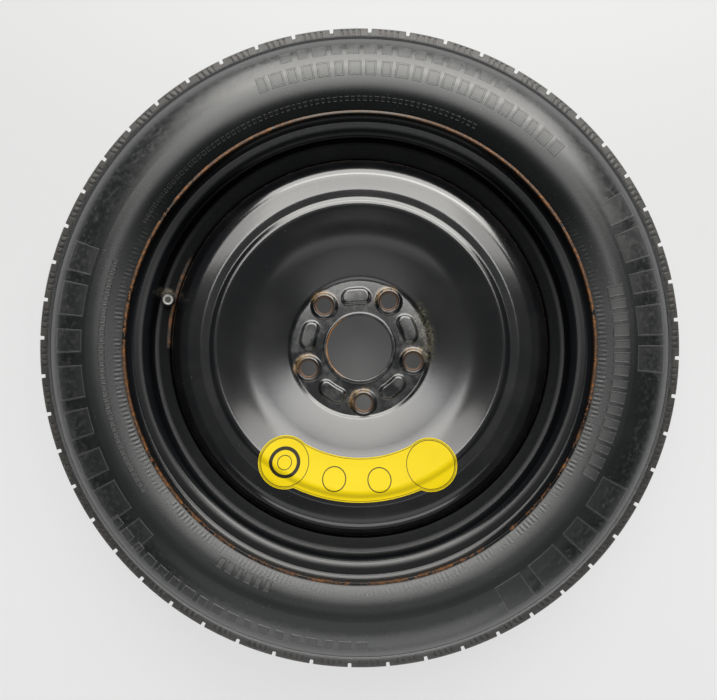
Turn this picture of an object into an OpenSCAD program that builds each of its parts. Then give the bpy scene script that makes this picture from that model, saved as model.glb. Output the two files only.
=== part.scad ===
// Space saver spare wheel, T125/85 R16 tyre on a 4J x 16 pressed steel wheel.
// It lies flat: the wheel axis is Z, the outer face looks up, and the lower sidewall rests at z = 0.
// Profile points are [radius from the axis, height over the rim's middle plane, round of the corner].

/* [Tyre] */
// Overall radius of the tyre at the crown
tyre_r = 309.5; // [306:0.5:314]
// Section width, which is also the height of the wheel as it lies
tyre_w = 132; // [127:0.5:135]
// How far the widest place of the sidewall lies below the middle of the section
bulge_low = 3.15; // [0:0.05:6]
// Angle of the sidewall where it leaves the rim's flange
leave = 48; // [40:1:60]
// How far the sidewall stands out past the flange's plane
wall_out = 15.2; // [14:0.1:16]
// Thickness of the crown, with the tread
crown_t = 10.2; // [9:0.1:12]
// Thickness of the sidewall where it is widest
sidewall_t = 6.3; // [5:0.1:8]
// How much thicker it is towards the tread
upper_fill = 4.2; // [3:0.1:5]
// How much thicker it is towards the bead
lower_fill = 4.5; // [3:0.1:6]
// How far the hollow's corner lies inside the tread's edge
tread_fill = 4.7; // [4:0.1:7]
// Width of the tyre's bead on its seat
bead_w = 13.4; // [12:0.1:13.5]
// Height of the bead over its seat
bead_h = 9; // [8:0.1:10]
// Width of the bead's toe
toe_w = 3.5; // [3:0.1:4]
// Clearance between the bead and the rim
bead_gap = 0.1; // [0.05:0.05:0.2]
// Height of the two thin rings at the edge of the sidewall
ring_h = 0.7; // [0.4:0.1:1]
// Width of those rings
ring_w = 0.9; // [0.6:0.1:1.2]
// Distance of that edge below the widest plane of the sidewall
edge_drop = 16.7; // [15:0.1:18]
// Width of the band that carries the rings
band_w = 5.6; // [5:0.1:6.5]

/* [Tread] */
// Distance of the tread's edge from the plane of the sidewall
tread_in = 24.3; // [22:0.1:27]
// How much the crown falls away towards the tread's edge
crown_drop = 2.3; // [1:0.1:3]
// Circumferential grooves
groove_n = 3; // [1:1:4]
// Distance between those grooves
groove_pitch = 19; // [16:0.5:20]
// Width of a groove at the surface
groove_w = 5.5; // [3:0.5:7]
// Depth of a groove
groove_depth = 4; // [3:0.5:5]
// How far each side of a groove slants in
groove_slant = 0.8; // [0.5:0.1:1.2]
// Notches round each edge of the tread
notch_n = 52; // [40:1:60]
// Width of a notch
notch_w = 3.4; // [2.8:0.1:4.5]
// Depth of a notch at the tread's edge
notch_depth = 3.8; // [3:0.1:5]
// Distance between a notch's inner end and the nearest groove
notch_stop = 6.2; // [3:0.1:8]
// Turn of the ring of notches, in degrees
notch_turn = 5.1; // [0:0.1:6.9]

/* [Rim] */
// Radius of the bead seat at the flange
seat_r = 202.8; // [202:0.1:204]
// Slope of the bead seat, in degrees
seat_slope = 5; // [4:0.5:6]
// Thickness of the rim's sheet
rim_t = 2.5; // [2:0.1:2.8]
// Height of the flange over the seat
flange_h = 17.5; // [16.5:0.1:18.5]
// Round of the flange's curl, on the tyre's side
curl_r = 9.5; // [8.5:0.1:10]
// How far the flange reaches outwards
flange_w = 10.6; // [10:0.1:12]
// Round between the flange and the seat
heel_r = 6.5; // [5.5:0.1:7]
// Distance of the hump from the flange
hump_in = 19.4; // [18.5:0.1:20.5]
// Height of the hump over the seat
hump_h = 1.2; // [0.8:0.1:1.4]
// Distance from the hump's foot to its top
hump_foot = 4.8; // [4.4:0.1:5]
// Depth of the well below the bead seat, on the tyre's side
well_depth = 16.5; // [15:0.1:18]
// Slope of the well's wall, in degrees off a flat plate
wall_slope = 17; // [14:0.5:20]
// Round between the well and its wall, on the tyre's side
well_bend = 2.5; // [2:0.5:3]

/* [Disc] */
// Thickness of the disc's sheet
disc_t = 3.8; // [3:0.1:4.2]
// Distance of the hub face from the outer flange's plane
face_in = 27.8; // [25:0.1:32]
// Radius of the flat hub zone
hub_zone_r = 67; // [66.5:0.5:72]
// Height of the step at the edge of the hub zone
hub_step = 2; // [1:0.1:3]
// Height of the bowl where it turns steeper, over the hub zone
bowl_knee = 10.9; // [9:0.1:13]
// Distance of the ridge round the bowl from the skirt
ridge_in = 45.7; // [42:0.1:50]
// Height of the ridge over the hub zone
ridge_top = 22; // [19:0.1:25]
// Depth of the crease outside the ridge
crease_depth = 2.2; // [1:0.1:3]
// Distance of that crease from the ridge
crease_out = 5; // [4:0.5:7]
// Height of the shoulder over the hub zone
shoulder_top = 21.2; // [19:0.1:24]
// Distance of the shoulder's inner edge from the ridge
shoulder_out = 13; // [11:0.5:15]
// How much the shoulder falls away towards the skirt
shoulder_fall = 1; // [0.5:0.1:2]
// Width of the bend from the shoulder to the skirt
bend_w = 13.2; // [12:0.1:15]
// Height of that bend
bend_h = 14.5; // [13:0.5:16]
// Lower edge of the skirt above the middle plane
skirt_edge = 4; // [-4:0.5:10]
// Clearance between the skirt and the well
skirt_gap = 0.1; // [0.05:0.05:0.2]

/* [Hub bolting] */
// Radius of the centre bore
bore_r = 31.7; // [28:0.1:33]
// Height of the collar drawn up round the bore
collar_h = 1.8; // [1:0.1:3]
// Width of that collar
collar_w = 3.8; // [3:0.1:4.5]
// Bolt holes
bolt_n = 5; // [4:1:5]
// Radius of the bolt circle
bolt_circle_r = 54; // [52:0.5:54]
// Radius of a bolt hole
bolt_hole_r = 7.6; // [7:0.1:8]
// Direction of the first bolt hole, in degrees
bolt_turn = 58; // [0:1:71]
// Radius of a nut seat's foot
seat_foot_r = 13.1; // [12:0.1:13.3]
// Radius of a nut seat's top
seat_top_r = 10.9; // [10.5:0.1:11.5]
// Height of a nut seat over the hub zone
seat_h = 3.2; // [2.5:0.1:4]
// Radius of the 60 degree cone at its mouth
cone_r = 9.9; // [9:0.1:10.2]
// Angle of that cone, in degrees
cone_turn = 60; // [58:1:62]
// Depth of the relief behind a nut seat
seat_relief = 1.2; // [0.8:0.1:1.6]
// How much smaller the relief is than the nut seat's foot
relief_in = 2.4; // [2:0.1:3]
// Radius of the middle line of the pads
pad_circle_r = 51.4; // [50:0.1:53]
// Half width of a pad at its foot
pad_half_w = 8.2; // [7.5:0.1:8.5]
// Distance between the centres of a pad's two ends
pad_run = 13; // [10:0.5:14]
// Height of a pad
pad_h = 2.6; // [2:0.1:3.5]
// Slope of the pads' sides, as run over rise
pad_draft = 0.85; // [0.5:0.05:1]
// How much narrower a pad is behind than in front, on each side
pad_in = 2.2; // [1.8:0.1:2.6]

/* [Welds] */
// Weld seams round the skirt
weld_n = 6; // [4:1:8]
// Length of one seam, in degrees
weld_arc = 34; // [20:1:40]
// Leg of the weld's triangle
weld_leg = 3.6; // [3:0.1:4]
// Clearance between the weld and the sheets
weld_gap = 0.05; // [0.02:0.01:0.1]

/* [Label] */
// Width of the label's band towards the axis
label_in_w = 24.2; // [20:0.1:26]
// Width of the label's band away from the axis
label_out_w = 16.5; // [14:0.1:20]
// Radius of the round ends
label_end_r = 25; // [21:0.1:26]
// Distance of the label's middle line from the ridge
label_low = 7.5; // [6:0.1:12]
// Half the angle between the two ends
label_half = 32.2; // [25:0.1:40]
// Direction of the label's middle, in degrees
label_turn = 269; // [260:1:280]
// Thickness of the label
label_t = 0.2; // [0.1:0.05:0.4]
// Clearance between the label and the paint
label_gap = 0.02; // [0.01:0.01:0.05]

/* [Valve] */
// Direction of the valve, in degrees
valve_turn = 165.9; // [0:0.1:359.9]
// Depth of the valve hole's centre below the bead seat, on the tyre's side
valve_low = 9.5; // [9:0.1:10]
// Radius of the valve hole
valve_hole_r = 5.75; // [5.5:0.05:6]
// Clearance between the rubber and the rim
valve_gap = 0.05; // [0.02:0.01:0.1]
// Radius of the rubber's head inside the tyre
head_r = 8.4; // [8:0.1:8.6]
// Length of that head
head_len = 8.6; // [7.5:0.1:10]
// Radius of the rubber's foot outside the rim
foot_r = 6.7; // [6.4:0.1:6.8]
// Length of the rubber outside the rim
rubber_len = 12.4; // [11.5:0.1:13]
// Radius of the rubber at its outer end
rubber_top_r = 4.9; // [4.6:0.1:5.1]
// Length of the stem outside the rim
stem_len = 22.4; // [22:0.1:24]
// Radius over the stem's thread
stem_r = 3.85; // [3.8:0.01:3.9]
// Radius of the stem inside the rubber
shank_r = 3.1; // [2.9:0.1:3.3]
// Radius of the stem's root flange inside the rubber
root_r = 4.7; // [4.2:0.1:5]
// Radius of the bore for the valve core
core_bore_r = 2.62; // [2.58:0.01:2.7]
// Length of that bore, from the stem's mouth
core_bore_len = 6.6; // [6.5:0.1:7]
// Radius of the stem's air way
air_r = 1.95; // [1.85:0.01:2.05]
// Clearance between the stem and the rubber on it
stem_gap = 0.02; // [0.01:0.01:0.05]

/* [Valve core] */
// Radius of the threaded plug
plug_r = 2.55; // [2.5:0.01:2.56]
// Length of the plug
plug_len = 5; // [4.5:0.1:5.2]
// How far the plug lies below the stem's mouth
plug_deep = 0.8; // [0.6:0.1:1]
// Thickness of the bridge that a core key grips
bridge_t = 1.7; // [1.5:0.1:2]
// Height of that bridge
bridge_h = 2.4; // [2:0.1:3]
// Radius of the barrel
barrel_r = 1.72; // [1.65:0.01:1.8]
// Length of the barrel
barrel_len = 8; // [7:0.1:9]
// Radius of the barrel's bore
barrel_bore_r = 1.3; // [1.25:0.01:1.35]
// Radius of the pin
pin_r = 0.4; // [0.35:0.01:0.45]
// Clearance round the pin
pin_gap = 0.12; // [0.08:0.01:0.2]
// Radius of the sealing cup on the pin
cup_r = 1.6; // [1.5:0.01:1.65]
// Height of that cup
cup_h = 1.3; // [1:0.1:1.6]
// Turns of the spring
spring_turns = 6; // [4:1:8]
// Radius of the spring's wire
spring_wire_r = 0.14; // [0.12:0.01:0.16]
// Small clearance between the core's pieces
core_gap = 0.03; // [0.02:0.01:0.05]

/* [Valve cap] */
// Radius of the cap
cap_r = 5.5; // [5.2:0.1:5.8]
// Thickness of the cap's roof
cap_roof = 1.5; // [1.2:0.1:1.8]
// Depth of the round dish in the cap's end
cap_dish = 0.5; // [0.2:0.1:0.7]
// Radius of that dish
cap_dish_r = 3.4; // [3:0.1:3.8]
// Running clearance in the cap's thread
cap_gap = 0.1; // [0.05:0.01:0.15]
// Clearance between the cap and the rubber below it
cap_clear = 0.3; // [0.2:0.1:0.6]
// Grip flutes round the cap
flute_n = 14; // [10:1:18]
// Radius of a flute
flute_r = 0.6; // [0.4:0.05:0.8]
// Distance of a flute's centre from the cap's face
flute_out = 0.35; // [0.2:0.05:0.5]
// Thickness of the cap's sealing washer
seal_t = 0.9; // [0.6:0.1:1.2]

/* [Hidden] */
$fn = 96;
tolerance = 0.04;
over = 1;
edge_share = 0.299;
knee_share = 0.634;
mid = tyre_w / 2;
flange_z = mid - wall_out;
tread_edge = mid - tread_in;
notch_end = (groove_n - 1) / 2 * groove_pitch + groove_w / 2 + notch_stop;
bulge_r = (seat_r + tyre_r) / 2 - bulge_low;
edge_in = edge_share * (tyre_r - bulge_r);
well_r = seat_r - well_depth;
valve_hole_at = seat_r - valve_low;
hub_face = flange_z - face_in;
flange_r = seat_r + flange_h;
curl_mid = [flange_r - curl_r, flange_z + curl_r];
hump_r = seat_r - hump_in * tan(seat_slope) + hump_h;
hump_z = flange_z - hump_in;
well_in_r = well_r - rim_t;
hub_front = hub_face + disc_t;
skirt_r = well_in_r - skirt_gap;
ridge_r = skirt_r - ridge_in;
bowl_knee_r = hub_zone_r + knee_share * (ridge_r - hub_zone_r);
label_mid_r = ridge_r - label_low;
label_in = label_mid_r - label_in_w;
label_out = label_mid_r + label_out_w;
valve_foot = [
    valve_hole_at - rim_t * sin(wall_slope),
    hump_z - (hump_r - valve_hole_at) * tan(wall_slope) + rim_t * cos(wall_slope)
];
head_end = -rim_t - head_len;
head_top = -rim_t - 3 * valve_gap;
root_low = head_end + 2;
root_top = root_low + 1.4;
stem_end = head_end + 0.8;
thread_start = rubber_len + 0.2;
plug_top = stem_len - plug_deep;
plug_low = plug_top - plug_len;
core_bore_end = stem_len - core_bore_len;
barrel_top = plug_low - core_gap;
barrel_low = barrel_top - barrel_len;
spring_low = barrel_low + 1.5;
pin_collar = barrel_top - 1.4;
pin_collar_t = 0.6;
cup_top = barrel_low - core_gap;
seal_low = stem_len + core_gap;
roof_low = seal_low + seal_t + core_gap;
cap_low = rubber_len + cap_clear;
cap_top = roof_low + cap_roof;

// Unit vector along v
function unit(v) = v / norm(v);

// Flat part of a profile point
function xy(p) = [p[0], p[1]];

// A list from its end to its start
function reversed(list) = [for (i = [len(list) - 1:-1:0]) list[i]];

// Profile points mirrored in the middle plane, and walked the other way
function mirrored(points) = [for (p = reversed(points)) [p[0], -p[1], p[2]]];

// Vector v turned by a degrees
function turned(v, a) = [v[0] * cos(a) - v[1] * sin(a), v[0] * sin(a) + v[1] * cos(a)];

// Straight steps of an arc of radius r over a degrees, each within the tolerance of the arc
function arc_steps(r, a) = max(2, ceil(a / (2 * acos(1 - min(0.5, tolerance / r)))));

// Arc of radius r that rounds corner p between its neighbours a and b
function corner(a, p, b, r) =
    let (
        u = unit(a - p),
        v = unit(b - p),
        turn = 180 - acos(u * v),
        side = sign(u[1] * v[0] - u[0] * v[1]),
        start = p + u * r * tan(turn / 2),
        centre = start + side * turned(-u, 90) * r,
        n = arc_steps(r, turn)
    )
    [for (i = [0:n]) centre + turned(start - centre, side * turn * i / n)];

// Path through the points, each corner rounded by its third value
function profile(points) = [
    for (i = [0:len(points) - 1])
        each (i == 0 || i == len(points) - 1 || points[i][2] == 0)
            ? [xy(points[i])]
            : corner(xy(points[i - 1]), xy(points[i]), xy(points[i + 1]), points[i][2])
];

// Left normal of a path at its point i, long enough to keep a sheet's thickness in a bend
function miter(path, i) =
    let (
        before = i == 0 ? path[1] - path[0] : path[i] - path[i - 1],
        after = i == len(path) - 1 ? before : path[i + 1] - path[i],
        n0 = turned(unit(before), 90),
        n1 = turned(unit(after), 90)
    )
    (n0 + n1) / (1 + n0 * n1);

// The path moved to its left by a distance
function shifted(path, by) = [for (i = [0:len(path) - 1]) path[i] + by * miter(path, i)];

// Section of a bent sheet between two distances left of its path
function sheet(path, from, to) = concat(shifted(path, from), reversed(shifted(path, to)));

// Four points of a small ring that stands on the line from a to b, at a distance along it
function ring_on(a, b, at) =
    let (along = unit(b - a), out = turned(along, 90) * -1, foot = a + along * at)
    [for (p = [foot, foot - out * ring_h, foot - out * ring_h + along * ring_w, foot + along * ring_w])
        [p[0], p[1], 0]];

// Tyre side of the rim's upper half, from the lip to the well
rim_half = [
    [flange_r, flange_z + flange_w, 0],
    [flange_r, flange_z, curl_r],
    [seat_r, flange_z, heel_r],
    [seat_r - (hump_in - hump_foot) * tan(seat_slope), hump_z + hump_foot, 4],
    [hump_r, hump_z, 3],
    [well_r, hump_z - (hump_r - well_r) * tan(wall_slope), well_bend]
];
rim_path = profile(concat(rim_half, mirrored(rim_half)));

// Outer face of the disc, from the bore to the skirt's edge
disc_path = profile([
    [bore_r, hub_front, 0],
    [hub_zone_r, hub_front, 3],
    [hub_zone_r + 3, hub_front + hub_step, 5],
    [bowl_knee_r, hub_front + bowl_knee, 1.5 * (ridge_r - hub_zone_r)],
    [ridge_r, hub_front + ridge_top, 7],
    [ridge_r + crease_out, hub_front + ridge_top - crease_depth, 3.5],
    [ridge_r + shoulder_out, hub_front + shoulder_top, 12],
    [skirt_r - bend_w, hub_front + shoulder_top - shoulder_fall, 20],
    [skirt_r, hub_front + shoulder_top - shoulder_fall - bend_h, 12],
    [skirt_r, skirt_edge, 0]
]);

// Outer face of the tyre's upper half, from the toe to the crown
toe = [seat_r - bead_w * tan(seat_slope) + bead_gap, flange_z - bead_w];
lift_off = curl_mid + (curl_r + bead_gap) * [sin(leave), -cos(leave)] + 5 * [cos(leave), sin(leave)];
lower_run = 0.66 * (bulge_r - lift_off[0]);
lower_bend = bulge_r - lift_off[0] - lower_run;
lower_turn = atan2(mid - lift_off[1], lower_run);
edge = [tyre_r - edge_in, mid - edge_drop];
edge_out = edge - [bulge_r, mid];
upper_run = (edge_out * edge_out) / (2 * edge_out[0]);
upper_turn = atan2(-edge_out[1], edge_out[0] - upper_run);
band = edge + band_w * turned([1, 0], -upper_turn);
tyre_half = concat(
    [
        [toe[0], toe[1], 0],
        [seat_r + bead_gap, flange_z - bead_gap, heel_r - bead_gap],
        [curl_mid[0] + (curl_r + bead_gap) * tan(leave / 2), flange_z - bead_gap, curl_r + bead_gap],
        [lift_off[0], lift_off[1], 1.5],
        [lift_off[0] + lower_run, mid, 0.95 * lower_bend / tan(lower_turn / 2)],
        [bulge_r + upper_run, mid, 0.98 * upper_run / tan(upper_turn / 2)]
    ],
    ring_on(edge, band, 0.3),
    ring_on(edge, band, 3.5),
    [
        [band[0], band[1], 0],
        [tyre_r - crown_drop, tread_edge, 5],
        [tyre_r, tread_edge / 2, 0.8 * tread_edge / 2 / tan(atan2(crown_drop, tread_edge / 2) / 2)]
    ]
);

// Inner face of the tyre's upper half, from the crown to the toe
upper_h = tyre_r - bulge_r;
lower_h = (bulge_r - lift_off[0]) * 2 / 3;
hollow_half = [
    [tyre_r - crown_t, tread_edge - tread_fill, 0.21 * upper_h],
    [bulge_r + 0.425 * upper_h, mid - sidewall_t - upper_fill, 0.5 * upper_h],
    [bulge_r, mid - sidewall_t, 0.9 * lower_h],
    [bulge_r - lower_h, mid - sidewall_t - lower_fill, 0.5 * lower_h],
    [seat_r + bead_h, toe[1] + bead_h / 2, 8],
    [seat_r + toe_w, toe[1] - 0.6, 0]
];

// Section of one circumferential groove, as wide at its foot as its slanted sides leave
module groove(z) {
    translate([tyre_r, z])
        polygon([
            [over, -groove_w / 2], [-groove_depth, -groove_w / 2 + groove_slant],
            [-groove_depth, groove_w / 2 - groove_slant], [over, groove_w / 2]
        ]);
}

// One notch through the upper edge of the tread, along X
module notch() {
    rotate([90, 0, 0])
        linear_extrude(notch_w, center = true)
            polygon([
                [tyre_r - crown_drop - notch_depth - 1.6, tread_edge + 1.5],
                [tyre_r - notch_depth, notch_end],
                [tyre_r + over, notch_end],
                [tyre_r + over, tread_edge + 10],
                [tyre_r - crown_drop - notch_depth - 1.6, tread_edge + 10]
            ]);
}

module tyre() {
    color("#1d1e1e")
        translate([0, 0, mid])
            difference() {
                rotate_extrude()
                    difference() {
                        polygon(concat(
                            profile(concat(tyre_half, mirrored(tyre_half))),
                            profile(concat(mirrored(hollow_half), hollow_half))
                        ));
                        for (i = [0:groove_n - 1]) groove((i - (groove_n - 1) / 2) * groove_pitch);
                    }
                for (i = [0:notch_n - 1], side = [0, 1])
                    rotate([0, 0, notch_turn + i * 360 / notch_n]) mirror([0, 0, side]) notch();
            }
}

// Places its children at the valve's foot on the rim, with their Z along the valve
module at_valve() {
    rotate([0, 0, valve_turn])
        translate([valve_foot[0], 0, mid + valve_foot[1]])
            rotate([0, -wall_slope, 0]) children();
}

module rim() {
    color("#17191a")
        difference() {
            translate([0, 0, mid]) rotate_extrude() polygon(sheet(rim_path, 0, -rim_t));
            at_valve() translate([0, 0, -rim_t - over]) cylinder(r = valve_hole_r, h = rim_t + 2 * over);
        }
}

// Long round-ended pad with slanted sides, its foot at z = 0 and its length along Y
module pad(half_w, h) {
    top_w = half_w - pad_draft * h;
    for (end = [-1, 1])
        translate([0, end * pad_run / 2, 0]) cylinder(r1 = half_w, r2 = top_w, h = h);
    rotate([90, 0, 0])
        linear_extrude(pad_run, center = true)
            polygon([[-half_w, 0], [half_w, 0], [top_w, h], [-top_w, h]]);
}

// Places its children once for each bolt hole, or halfway between the holes
module round_hub(r, half_step = 0) {
    for (i = [0:bolt_n - 1])
        rotate([0, 0, bolt_turn + (i + half_step) * 360 / bolt_n]) translate([r, 0, 0]) children();
}

module disc() {
    cone_depth = (cone_r - bolt_hole_r) / tan(cone_turn / 2);
    color("#141617")
        translate([0, 0, mid])
            difference() {
                union() {
                    rotate_extrude() {
                        polygon(sheet(disc_path, 0, -disc_t));
                        polygon(profile([
                            [bore_r, hub_front - over, 0],
                            [bore_r, hub_front + collar_h, 0.8],
                            [bore_r + collar_w, hub_front + collar_h, 1.2],
                            [bore_r + collar_w + 0.4, hub_front, 0],
                            [bore_r + collar_w + 0.4, hub_front - over, 0]
                        ]));
                    }
                    translate([0, 0, hub_front]) {
                        round_hub(bolt_circle_r) cylinder(r1 = seat_foot_r, r2 = seat_top_r, h = seat_h);
                        round_hub(pad_circle_r, 0.5) pad(pad_half_w, pad_h);
                    }
                }
                round_hub(bolt_circle_r) {
                    cylinder(r = bolt_hole_r, h = hub_front + seat_h + over);
                    translate([0, 0, hub_front + seat_h - cone_depth])
                        cylinder(r1 = bolt_hole_r, r2 = cone_r, h = cone_depth);
                    translate([0, 0, hub_face])
                        cylinder(r1 = seat_foot_r - relief_in, r2 = bolt_hole_r + 1, h = seat_relief);
                }
                translate([0, 0, hub_face]) round_hub(pad_circle_r, 0.5) pad(pad_half_w - pad_in, pad_h);
            }
}

module disc_welds() {
    corner_r = well_in_r - weld_gap;
    corner_z = skirt_edge - weld_gap;
    color("#2b2724")
        for (i = [0:weld_n - 1])
            rotate([0, 0, (i + 0.5) * 360 / weld_n])
                translate([0, 0, mid])
                    rotate_extrude(angle = weld_arc)
                        polygon(profile([
                            [corner_r, corner_z, 0],
                            [corner_r, corner_z - weld_leg, 0],
                            [corner_r - 0.7 * weld_leg, corner_z - 0.7 * weld_leg, 0.5 * weld_leg],
                            [corner_r - weld_leg, corner_z, 0]
                        ]));
}

// Outline of the label from above: a band with two larger round ends
module label_outline() {
    rotate(label_turn) {
        intersection() {
            difference() {
                circle(label_out);
                circle(label_in);
            }
            polygon([
                [0, 0],
                for (a = [-1, 0, 1]) 2 * label_out * [cos(a * label_half), sin(a * label_half)]
            ]);
        }
        for (side = [-1, 1]) rotate(side * label_half) translate([label_mid_r, 0]) circle(label_end_r);
    }
}

module label() {
    bowl_path = [for (p = disc_path) if (p[0] > hub_zone_r + 8 && p[0] < skirt_r - 6) p];
    color("#f2dc1c")
        intersection() {
            translate([0, 0, mid])
                rotate_extrude() polygon(sheet(bowl_path, label_gap, label_gap + label_t));
            linear_extrude(mid + hub_front + 2 * ridge_top) label_outline();
        }
}

module valve_body() {
    inner_r = shank_r + stem_gap;
    color("#202020")
        at_valve()
            rotate_extrude()
                polygon(profile([
                    [inner_r, head_end, 0],
                    [head_r - 1.8, head_end, 1.4],
                    [head_r, head_end + 3, 1.2],
                    [head_r - 0.6, head_top - 1.9, 0.6],
                    [head_r - 1.4, head_top - 0.5, 0.3],
                    [head_r - 2.4, head_top, 0],
                    [valve_hole_r - valve_gap, head_top, 0],
                    [valve_hole_r - valve_gap, valve_gap, 0],
                    [foot_r, valve_gap, 0.5],
                    [foot_r, 1.8, 0.6],
                    [rubber_top_r + 1, 4.6, 2],
                    [rubber_top_r, rubber_len, 0.5],
                    [inner_r, rubber_len, 0],
                    [inner_r, root_top + stem_gap, 0],
                    [root_r + stem_gap, root_top + stem_gap, 0],
                    [root_r + stem_gap, root_low - stem_gap, 0],
                    [inner_r, root_low - stem_gap, 0],
                    [inner_r, head_end, 0]
                ]));
}

module valve_stem() {
    color("#b89b55")
        at_valve()
            rotate_extrude()
                polygon([
                    [air_r, stem_end], [shank_r, stem_end], [shank_r, root_low], [root_r, root_low],
                    [root_r, root_top], [shank_r, root_top], [shank_r, thread_start],
                    [stem_r, thread_start + 0.6], [stem_r, stem_len - 0.5], [stem_r - 0.5, stem_len],
                    [core_bore_r + 0.3, stem_len], [core_bore_r, stem_len - 0.4],
                    [core_bore_r, core_bore_end], [air_r, core_bore_end - 1.2]
                ]);
}

module core_plug() {
    color("#c9a646")
        at_valve()
            difference() {
                translate([0, 0, plug_low]) cylinder(r = plug_r, h = plug_len);
                cylinder(r = pin_r + pin_gap, h = stem_len);
                for (side = [-1, 1]) {
                    translate([side * (bridge_t / 2 + plug_r), 0, plug_top - bridge_h / 2 + over / 2])
                        cube([2 * plug_r, 3 * plug_r, bridge_h + over], center = true);
                    translate([side * (bridge_t / 2 + 0.75), 0, 0]) cylinder(r = 0.55, h = stem_len);
                }
            }
}

module core_barrel() {
    color("#c2a04a")
        at_valve()
            rotate_extrude()
                polygon([
                    [barrel_r, barrel_low], [barrel_r, barrel_top], [barrel_bore_r, barrel_top],
                    [barrel_bore_r, spring_low], [pin_r + pin_gap, spring_low],
                    [pin_r + pin_gap, barrel_low]
                ]);
}

module core_gasket() {
    color("#d8d4c8")
        at_valve()
            rotate_extrude()
                polygon([
                    [barrel_r + core_gap, core_bore_end - 1], [air_r, core_bore_end - 1],
                    [core_bore_r - 2 * core_gap, core_bore_end],
                    [core_bore_r - 2 * core_gap, plug_low - core_gap],
                    [barrel_r + core_gap, plug_low - core_gap]
                ]);
}

// Coil of round wire, swept along a helix
module core_spring() {
    sides = 6;
    steps = 12 * spring_turns;
    coil_r = (pin_r + barrel_bore_r) / 2 + 0.05;
    low = spring_low + spring_wire_r + core_gap;
    rise = pin_collar - core_gap - spring_wire_r - low;
    points = [
        for (i = [0:steps], k = [0:sides - 1])
            let (a = i * 30, b = k * 360 / sides, r = coil_r + spring_wire_r * cos(b))
            [r * cos(a), r * sin(a), low + rise * i / steps + spring_wire_r * sin(b)]
    ];
    walls = [
        for (i = [0:steps - 1], k = [0:sides - 1])
            let (a = i * sides + k, b = i * sides + (k + 1) % sides)
            [a, b, b + sides, a + sides]
    ];
    color("#b9bcbe")
        at_valve()
            polyhedron(points, concat(
                walls,
                [[for (k = [sides - 1:-1:0]) k], [for (k = [0:sides - 1]) steps * sides + k]]
            ));
}

module core_pin() {
    color("#cfae57")
        at_valve()
            rotate_extrude()
                polygon([
                    [0, cup_top - cup_h - 0.4], [pin_r, cup_top - cup_h - 0.4], [pin_r, pin_collar],
                    [barrel_bore_r - pin_gap, pin_collar],
                    [barrel_bore_r - pin_gap, pin_collar + pin_collar_t],
                    [pin_r, pin_collar + pin_collar_t], [pin_r, plug_top + 0.1], [0, plug_top + 0.3]
                ]);
}

module core_cup() {
    color("#3a3632")
        at_valve()
            rotate_extrude()
                polygon([
                    [pin_r + core_gap, cup_top - cup_h], [cup_r - 0.3, cup_top - cup_h],
                    [cup_r, cup_top - cup_h + 0.4], [cup_r, cup_top], [pin_r + core_gap, cup_top]
                ]);
}

module valve_cap() {
    color("#3c3e3f")
        at_valve()
            difference() {
                intersection() {
                    rotate_extrude()
                        polygon(profile([
                            [0, cap_low, 0], [cap_r - 0.3, cap_low, 0], [cap_r, cap_low + 0.5, 0],
                            [cap_r, cap_top, 1.1], [cap_dish_r + 0.6, cap_top, 0],
                            [cap_dish_r, cap_top - cap_dish, 0], [0, cap_top - cap_dish, 0]
                        ]));
                    linear_extrude(cap_top + over)
                        difference() {
                            circle(cap_r + over);
                            for (i = [0:flute_n - 1])
                                rotate(i * 360 / flute_n) translate([cap_r + flute_out, 0]) circle(flute_r);
                        }
                }
                translate([0, 0, cap_low - over])
                    cylinder(r = stem_r + cap_gap, h = roof_low - cap_low + over);
            }
}

module cap_seal() {
    color("#2a2a2a")
        at_valve()
            translate([0, 0, seal_low])
                difference() {
                    cylinder(r = stem_r - core_gap, h = seal_t);
                    translate([0, 0, -over]) cylinder(r = core_bore_r - 1, h = seal_t + 2 * over);
                }
}

tyre();
rim();
disc();
disc_welds();
label();
valve_body();
valve_stem();
core_plug();
core_barrel();
core_gasket();
core_spring();
core_pin();
core_cup();
valve_cap();
cap_seal();
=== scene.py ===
import bmesh
import bpy
import numpy as np
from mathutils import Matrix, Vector


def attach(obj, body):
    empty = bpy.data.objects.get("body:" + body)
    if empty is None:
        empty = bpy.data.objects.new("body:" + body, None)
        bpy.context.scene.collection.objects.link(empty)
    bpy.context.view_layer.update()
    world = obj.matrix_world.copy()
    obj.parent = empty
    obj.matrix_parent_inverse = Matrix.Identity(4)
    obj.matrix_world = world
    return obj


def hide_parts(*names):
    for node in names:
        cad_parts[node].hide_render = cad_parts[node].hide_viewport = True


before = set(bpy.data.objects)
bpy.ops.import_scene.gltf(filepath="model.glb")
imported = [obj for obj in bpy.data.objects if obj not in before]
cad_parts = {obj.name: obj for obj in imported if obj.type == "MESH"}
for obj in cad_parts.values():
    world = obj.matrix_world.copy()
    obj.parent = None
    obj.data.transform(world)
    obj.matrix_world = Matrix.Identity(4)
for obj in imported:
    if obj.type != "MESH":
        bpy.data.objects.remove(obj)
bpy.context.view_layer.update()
print("frame loaded")

middle = 66.0  # height of the rim's middle plane over the floor, mm
thousandth = 0.001  # sizes are written in mm, meshes are in m
degreesPerRadian = 57.29578


# A vector of length 1
def unitOf(v):
    return v / np.linalg.norm(v)


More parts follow.
